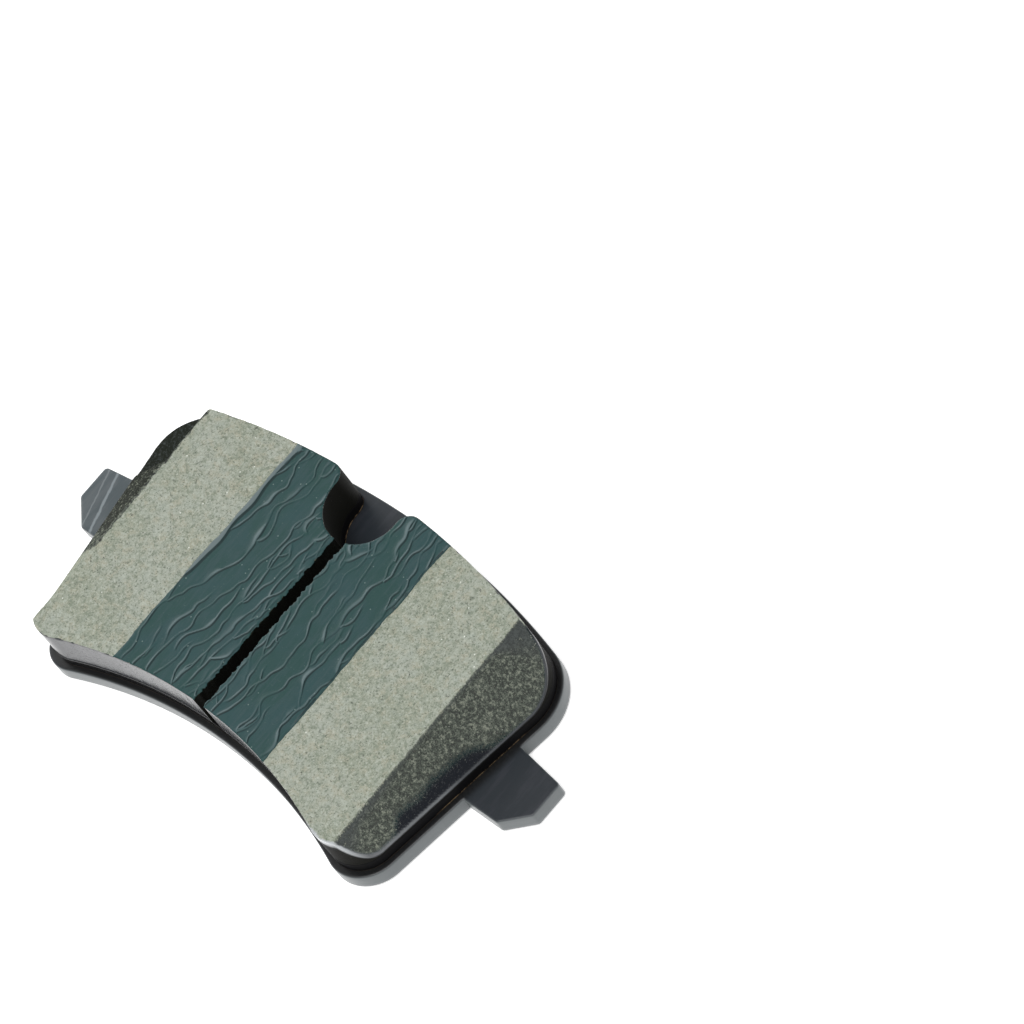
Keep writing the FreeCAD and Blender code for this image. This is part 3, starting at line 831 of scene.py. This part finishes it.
def block_values(side, seed, points, rings, inner, shares, in_slot, depth, bare, inner_gap):
    """Corner values of a block: paint is 1 under paint, soot rises with the overspray, smooth is 1 where
    that lies even, dull is 1 where the paint has no shine and the painted highlight is 1 where the lip is
    painted pale."""
    paint, soot, smooth, painted_highlight = (np.zeros(len(points)) for _ in range(4))
    dull = dullness(points)
    walls, top = np.array(rings[:-1]), rings[-1]
    up = np.array(shares[:-1])[:, None]
    paint[walls] = np.where(in_slot, 0.75, 1.0)
    soot[walls] = 1.5
    dull[walls] *= 1.0 - ease(up, 0.72, 0.86) * (points[rings[0], 0] > 40.0)
    painted_lip = ease(depth, 0.8, 1.8)
    paint[top] = np.where(in_slot, 0.3, np.maximum(0.9 * painted_lip, 0.8 * (1 - bare)))
    soot[top] = np.where(in_slot, 1.5, 0.2 + 0.7 * painted_lip)
    dull[top] *= in_slot

    flat = points[inner][:, :2]
    across, along = flat.T
    down = face_height(side, flat)[1]
    deep = down * CHAMFER[side][2]
    from_crease = side * across - chamfer_edge(side, along)[0]
    paint[inner] = 0.8 * fall(inner_gap, 0.3, 0.7) * ease(deep, 1.0, 2.0)
    if side > 0:
        soot[inner] = 0.62 * ease(from_crease, -0.3, 0.15)
        edge = 0.6 + 0.36 * ease(along, -3.0, 11.0) + 0.3 * ease(-along, 21.0, 27.0)
        edge += 0.05 * rough_noise(along, 0.0, 5.0, seed + 15)
        paint[inner] = np.maximum(paint[inner], ease(down, edge - 0.16, edge + 0.22))
        band = 0.05 + 0.14 * ease(-along, 8.0, 28.0) + 0.55 * ease(along, 20.0, 31.0)
        band += 0.35 * ease(-along, 28.0, 35.0)
        smooth[inner] = fall(down, 0.2 * band, 1.6 * band) * ease(down, 0.0, 0.02)
        dull[inner] = 0.0
        x, y = points[:, :2].T
        # Painted highlight along the right end's lip and round the near corner: a pale colour standing in
        # for their reflection
        corner = ease(x, 42.0, 47.0) * fall(x, 54.0, 64.0) * ease(-y, 30.0, 38.0)
        end = (0.12 + 0.16 * ease(-y, 4.0, 12.0)) * ease(x, 55.0, 60.0)
        painted_highlight[walls] = corner[walls] * ease(up, 0.78, 0.9)
        lip = np.array(rings[-2:])
        painted_highlight[lip] = np.maximum(corner, end)[lip]
        rim_only = fall(inner_gap, 0.2, 0.6)
        painted_highlight[inner] = np.maximum(0.6 * corner, end)[inner] * rim_only * ease(deep, 1.5, 3.0)
    else:
        ragged = from_crease + 0.9 * rough_noise(across, along, 1.3, seed + 17)
        soot[inner] = 1.14 * ease(ragged, -1.4, 0.9)
        soot[inner] *= ease(along + 2.5 * rough_noise(across, along, 2.5, seed + 19), -19.0, -6.0)
        soot[inner] += 0.12 * ease(along, -34.0, -28.0) * ease(from_crease, -2.2, 0.5)
        smooth[inner] = ledge_share(flat)
        dull[inner] = 0.95 * ease(from_crease, -0.2, 0.5)
    soot[inner] += 0.5 * fall(np.abs(across - ARC_X), SLOT_HALF, SLOT_HALF + 1.2)
    return {"paint": paint, "soot": soot, "smooth": smooth, "dull": dull, "painted_highlight": painted_highlight}


# Length of one step along a ridge
STRIDE = 0.4


def ridge_starts(side, rng, left, right, low, high):
    """Where the ridges of a strip begin: along its far edge, along the slot, and here and there between."""
    starts = []
    x = left + 0.7
    while x < right - 0.5:
        starts.append((x, high + 1.0, rng.normal(0, 0.15)))
        x += rng.uniform(1.2, 2.9 - 0.6 * side)
    y = high - 7.0
    while y > low + 3.0:
        starts.append((ARC_X + side * (SLOT_HALF + 0.1), y, side * rng.uniform(0.9, 1.45)))
        y -= rng.uniform(3.0, 7.0)
    for _ in range(22):
        x, y = rng.uniform(left + 1, right - 1), rng.uniform(low + 8, high - 4)
        starts.append((x, y, rng.normal(0, 0.4)))
    return starts


def ridge_walks(side, rng, left, right, low, high):
    """Paths of the ridges: they wander down Y, lean towards one that is near, and end on meeting it."""
    longest = 300
    taken = np.zeros((0, 2))
    walks = []
    for x, y, heading in ridge_starts(side, rng, left, right, low, high):
        place = np.arange(longest) * STRIDE
        lane = rng.uniform(0, 200)
        sway = 0.3 * smooth_noise(place, lane, 7.0, 5)
        sway = sway + 0.85 * smooth_noise(place, lane, 1.9, 6)
        path = [(x, y)]
        until = rng.randint(45, longest)
        for k in range(until):
            aim = sway[k] + 0.05 * side
            if len(taken) and k > 8:
                gaps = taken - (x, y)
                gap = np.hypot(gaps[:, 0], gaps[:, 1])
                nearest = gap.argmin()
                if gap[nearest] < 0.45:
                    path.append(tuple(taken[nearest]))
                    break
                ahead = (gap < 1.5) & (gaps[:, 1] < -0.5 * gap)
                if ahead.any():
                    aim += 0.55 * np.sign(gaps[ahead][:, 0].mean())
            heading += 0.3 * (aim - heading)
            x += STRIDE * math.sin(heading)
            y -= STRIDE * math.cos(heading)
            path.append((x, y))
            if not left - 0.2 < x < right + 0.2 or y < low - 1:
                break
        walks.append(np.array(path))
        taken = np.vstack((taken, np.array(path)))
    return walks


def stamp(height, grid_origin, cell, start, end, strength, steep_spread, gentle_spread):
    """Raises the map along one short length of ridge, steeper on its right."""
    x0, y0 = grid_origin
    length = float(np.linalg.norm(end - start))
    if length < 1e-6:
        return
    ahead = (end - start) / length
    normal = np.array((-ahead[1], ahead[0])) * (1 if ahead[1] < 0 else -1)
    reach = 2.2 * gentle_spread
    j0, i0 = (max(0, int(v)) for v in (np.minimum(start, end) - reach - grid_origin) / cell)
    j1, i1 = (int(v) + 1 for v in (np.maximum(start, end) + reach - grid_origin) / cell)
    i1, j1 = min(height.shape[0], i1), min(height.shape[1], j1)
    if i0 >= i1 or j0 >= j1:
        return
    gx = x0 + (np.arange(j0, j1) + 0.5) * cell - start[0]
    gy = (y0 + (np.arange(i0, i1) + 0.5) * cell - start[1])[:, None]
    t = np.clip(gx * ahead[0] + gy * ahead[1], 0, length)
    dx, dy = gx - t * ahead[0], gy - t * ahead[1]
    steep = dx * normal[0] + dy * normal[1] > 0
    shape = strength * np.exp(-(np.hypot(dx, dy) / np.where(steep, steep_spread, gentle_spread)) ** 2)
    height[i0:i1, j0:j1] = np.maximum(height[i0:i1, j0:j1], shape)


def ridge_map(side, low, high):
    """Height of the ridges over a strip, from 0 to 1, on a grid of fine cells."""
    rng = np.random.RandomState(17 + side)
    slot_x, edge_x = ARC_X + side * SLOT_HALF, side * STRIP_EDGE[side]
    left, right = min(slot_x, edge_x), max(slot_x, edge_x)
    cell, margin = 0.08, 2.0
    x0, y0 = left - margin, low - margin
    height = np.zeros((int((high - low + 2 * margin) / cell), int((right - left + 2 * margin) / cell)))
    for path in ridge_walks(side, rng, left, right, low, high):
        count = len(path)
        if count < 8:
            continue
        along = np.arange(count) * STRIDE
        lane = rng.uniform(0, 200)
        strength = 0.62 + 0.45 * smooth_noise(along, lane, 4.5, 7)
        strength *= np.minimum(1.0, np.minimum(np.arange(count) + 2, count - np.arange(count) + 4) / 8.0)
        width = 0.2 + 0.07 * smooth_noise(along, lane, 3.0, 8)
        blade = 1.0 + 3.0 * ease(smooth_noise(along, lane, 6.0, 9), 0.25, 0.8)
        for k in range(count - 1):
            stamp(height, (x0, y0), cell, path[k], path[k + 1], strength[k],
                  0.62 * width[k], 1.1 * width[k] * blade[k])
    return height, x0, y0, cell


def sample_map(grid, x, y):
    """Reads a height map between its cells."""
    height, x0, y0, cell = grid
    u = np.clip((x - x0) / cell - 0.5, 0, height.shape[1] - 1.001)
    v = np.clip((y - y0) / cell - 0.5, 0, height.shape[0] - 1.001)
    i, j = v.astype(int), u.astype(int)
    fv, fu = v - i, u - j
    low = height[i, j] * (1 - fu) + height[i, j + 1] * fu
    high = height[i + 1, j] * (1 - fu) + height[i + 1, j + 1] * fu
    return low * (1 - fv) + high * fv


def relief(side, ridges, seed, x, y):
    """Heights of a strip's ridges and of the raised lip along its outer border, from 0 to 1."""
    from_edge = STRIP_EDGE[side] - side * x
    lip_width = 1.75 + 0.45 * smooth_noise(y, 0.0, 6.0, seed + 5)
    lip_width *= ease(y, -9.0, 1.0) if side < 0 else 0.35
    crest = ease(from_edge, 0.2, 0.5) * fall(from_edge, lip_width, lip_width + 0.3)
    return sample_map(ridges, x, y), crest * ease(lip_width, 0.2, 0.6)


def coating_strip(side, material):
    """One strip of coating, with its ridges, ragged slot edge and raised outer lip."""
    seed = 70 + side
    loop = strip_outline(side, 0.2)
    in_slot = on_slot_wall(loop)
    across, along = loop.T
    wander = 0.45 * (0.8 + rough_noise(along, 0.0, 9.0, seed + 2, 4))
    across -= side * wander * np.clip((side * across - STRIP_EDGE[side]) / 3.0 + 1.0, 0, 1)
    ragged = 0.1 + 0.16 * rough_noise(across, along, 1.4, seed)
    tatters = np.tanh(2.2 * rough_noise(along, 0.0, 0.9, seed + 1, 4))
    ragged = np.where(in_slot, 0.34 * tatters - 0.06, ragged) * ease(from_corners(loop), 0.1, 0.9)
    build = Builder()
    profile = [(ragged + 0.03, -0.12), (ragged, -0.02), (ragged + 0.02, 0.04), (ragged + 0.09, 0.09)]
    rings = build.stack(loop, FACE, profile)
    rim = build.rim(rings[-1])
    flat = grid_inside(rim, 0.19, 0.13)
    inner = build.add(np.column_stack((flat, np.full(len(flat), FACE))))
    build.cap([rings[-1]], inner)
    build.cap([rings[0]], down=True)
    points = np.vstack(build.corners)

    x, y = flat.T
    ridges = ridge_map(side, along.min(), along.max())
    crests, lip = relief(side, ridges, seed, x, y)
    raised = np.maximum(crests, (0.9 if side < 0 else 0.5) * lip)
    windward = np.maximum(*relief(side, ridges, seed, x - 0.26, y))
    windward = np.maximum(windward, relief(side, ridges, seed, x - 0.42, y + 0.1)[0])
    windward = np.maximum(windward, relief(side, ridges, seed, x - 0.65, y)[1])
    swell = 0.025 * rough_noise(x, y, 4.0, seed + 6)
    height = 0.11 + swell + 0.26 * raised
    rise = ease(distance_to(flat, rim), 0.0, 0.4)
    points[inner, 2] = FACE + np.minimum(0.09 + rise * (height - 0.05), COAT_TOP - FACE - 0.01)
    # Painted highlight on the ridges and the lip, and painted shade just to the right of them
    ridge_highlight, lee = np.zeros(len(points)), np.zeros(len(points))
    ridge_highlight[inner] = np.maximum(raised, 1.5 * lip if side < 0 else 0.0)
    lee[inner] = np.clip(windward - 1.15 * raised, 0, 1)
    # Painted shade along the right strip's outer edge
    if side > 0:
        from_edge = STRIP_EDGE[side] - x
        patchy = ease(rough_noise(x, y, 3.0, seed + 8), -0.4, 0.4)
        lee[inner] = np.maximum(lee[inner], 0.7 * patchy * fall(from_edge, 0.7, 1.4))
    node = f"coating_strip_{SIDE_NAME[side]}"
    piece = build.mesh_object(f"{node}_detail", material, points, 70.0, ridge=ridge_highlight, lee=lee)
    return attach(piece, "coating", node)


def key_holes():
    """Outlines of the plate's keying holes."""
    return [circle_outline((side * x, y), KEY_HOLE_RADIUS, 0.6) for x, y in KEY_HOLES for side in (-1, 1)]


def plate_piece(material):
    """Stamped plate: rolled upper rim, sheared sides, four keying holes."""
    build = Builder()
    loop = whole_outline(PLATE, 0.6, ear=True)
    thick = PLATE_TOP - PLATE_BOTTOM
    profile = [(0.35, 0.0), (0.1, 0.06), (0.0, 0.25), (0.0, 1.2), (0.0, 2.6), (0.0, thick - 0.5),
               (0.04, thick - 0.3), (0.15, thick - 0.13), (0.3, thick - 0.04), (0.5, thick), (0.8, thick)]
    rings = build.stack(loop, PLATE_BOTTOM, profile)
    tops, bottoms = [rings[-1]], [rings[0]]
    for hole in key_holes():
        low = build.add(ring_at(hole, 0.0, PLATE_BOTTOM))
        high = build.add(ring_at(hole, 0.0, PLATE_TOP))
        build.wall([low[::-1], high[::-1]])
        tops.append(high)
        bottoms.append(low)
    flat = grid_inside(build.rim(rings[-1]), 0.9, 0.4)
    for x, y in KEY_HOLES:
        from_hole = np.hypot(np.abs(flat[:, 0]) - x, flat[:, 1] - y)
        flat = flat[from_hole > KEY_HOLE_RADIUS + 0.4]
    inner = build.add(np.column_stack((flat, np.full(len(flat), PLATE_TOP))))
    build.cap(tops, inner)
    build.cap(bottoms, down=True)
    side_value = np.zeros(build.count)
    side_value[np.array(rings)] = np.array((0.0, 0.6, 1.0, 1.0, 1.0, 1.0, 0.9, 0.5, 0.1, 0.0, 0.0))[:, None]
    plan = np.vstack(build.corners)[:, :2]
    lining = whole_outline(LINING, 0.4, notch=True)
    foot = np.where(inside(plan, lining), 1.0, fall(distance_to(plan, lining), 0.9, 3.2))
    in_notch = fall(np.abs(plan[:, 0] - ARC_X), 16.0, 20.0) * ease(plan[:, 1], 14.0, 20.0)
    foot *= 1 - 0.9 * in_notch
    left_end = ease(-plan[:, 0], 62.0, 66.0)
    piece = build.mesh_object("backing_plate_detail", material, smooth_angle=50.0,
                              side=side_value, rubbed=left_end, foot=foot)
    return attach(piece, "painted_plate", "backing_plate")


def underlayer_piece(material):
    """Moulded layer with softened edges, and its plugs in the plate's holes."""
    build = Builder()
    loop = whole_outline(LINING, 0.5, notch=True)
    thick = LAYER_TOP - LAYER_BOTTOM
    profile = [(0.1, 0.0), (0.0, 0.12), (0.0, 0.3), (0.0, 0.5), (0.0, 1.5), (0.0, 2.2), (0.0, thick - 0.3),
               (0.02, thick - 0.08), (0.08, thick - 0.01), (0.3, thick), (0.6, thick)]
    rings = build.stack(loop, LAYER_BOTTOM, profile)
    bottoms = [rings[0]]
    for hole in key_holes():
        low = build.add(ring_at(hole, 0.0, PLATE_BOTTOM))
        high = build.add(ring_at(hole, 0.0, LAYER_BOTTOM))
        build.wall([low, high])
        build.cap([low], down=True)
        bottoms.append(high)
    build.cap([rings[-1]])
    build.cap(bottoms, down=True)
    points = np.vstack(build.corners)
    x, y = points[:, :2].T
    ear_root = ease(x, 56.0, 58.0) * fall(np.abs(y + 1.0), 10.0, 15.0)
    in_notch = fall(np.abs(x - ARC_X), 12.0, 15.0) * ease(y, 14.0, 20.0)
    rust = np.zeros(build.count)
    for ring in rings[:3]:
        rust[ring] = np.maximum(0.6 * ear_root, in_notch)[ring]
    piece = build.mesh_object("underlayer_detail", material, smooth_angle=50.0,
                              dull=dullness(points), rust=rust)
    return attach(piece, "underlayer", "underlayer")


def dress_cad_node(name, material):
    """A CAD node whose shape is right stays, with its own material."""
    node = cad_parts[name]
    node.data.materials.clear()
    node.data.materials.append(material)


# ---- stage

def floor():
    """Plain pale floor that the pad lies on, lit softly from below like a light table."""
    build = Builder()
    half, rise = 3000.0, -0.02
    square = ((-half, -half), (half, -half), (half, half), (-half, half))
    build.quads.append(build.add([(x, y, rise) for x, y in square])[None, :])
    look = Look("pale_floor", Roughness=0.9, Specular_IOR_Level=0.1,
                Emission_Color=(1, 1, 1, 1), Emission_Strength=0.55)
    colour = look.mix(look.noise(0.002), (0.9, 0.9, 0.9), (0.92, 0.92, 0.92))
    build.mesh_object("floor", look.plug(Base_Color=colour))


def area_light(name, place, size, power):
    """A soft square lamp that faces the pad, in metres and watts."""
    data = bpy.data.lights.new(name, "AREA")
    data.shape = "SQUARE"
    data.size = size
    data.energy = power
    lamp = new_object(name, data)
    lamp.location = place
    lamp.rotation_euler = (-Vector(place)).to_track_quat("-Z", "Y").to_euler()


def studio():
    """A dim room with a white backdrop, a broad lamp overhead and one low beyond the left end."""
    world = bpy.data.worlds.new("studio")
    bpy.context.scene.world = world
    world.use_nodes = True
    tree = world.node_tree
    white = (1.0, 1.0, 1.0, 1.0)
    room = tree.nodes["Background"]
    room.inputs["Color"].default_value = white
    room.inputs["Strength"].default_value = 0.38
    backdrop = add_node(tree, "Background", {"Color": white, "Strength": 1.0})[0]
    seen = add_node(tree, "LightPath")["Is Camera Ray"]
    both = add_node(tree, "MixShader", {0: seen, 1: room.outputs[0], 2: backdrop})[0]
    tree.links.new(both, tree.nodes["World Output"].inputs["Surface"])
    area_light("overhead", (0.3, -0.35, 1.3), 1.0, 14.4)
    area_light("low_left", (-1.2, 0.15, 0.5), 0.8, 7.0)
    bpy.context.scene.view_settings.view_transform = "Standard"


def camera():
    """Long lens from above the right end, turned so that the pad lies across the picture."""
    data = bpy.data.cameras.new("camera")
    data.lens = 246.09
    data.sensor_width = 36.0
    data.clip_start, data.clip_end = 0.05, 20.0
    eye = new_object("camera", data)
    azimuth, elevation, roll = 74.56, 52.232, -36.92
    aim, distance = (0.01687, 0.05528, 0.0), 1.659
    place = Matrix.Translation(aim)
    for degrees, axis in ((azimuth, "Z"), (90 - elevation, "X"), (roll, "Z")):
        place = place @ Matrix.Rotation(math.radians(degrees), 4, axis)
    eye.matrix_world = place @ Matrix.Translation((0.0, 0.0, distance))
    bpy.context.scene.camera = eye


# ---- assembly

camera()
studio()
floor()
compound = friction_material()
coating = coating_material()
for block_side in (-1, 1):
    friction_block(block_side, compound)
    coating_strip(block_side, coating)
underlayer_piece(gloss_paint_material())
plate_piece(plate_material())
dress_cad_node("bonding_film", glue_material(
    "bonding_adhesive", 0.5, 0.5, (0.012, 0.01, 0.008), (0.05, 0.036, 0.022), 0.3, 0.05))
dress_cad_node("shim_rubber_skin", shim_rubber_material())
dress_cad_node("shim_steel_core", shim_steel_material())
dress_cad_node("shim_glue_layer", glue_material(
    "shim_glue", 0.4, 0.6, (0.03, 0.025, 0.02), (0.09, 0.07, 0.05), 0.2, 0.03))

bpy.context.view_layer.update()
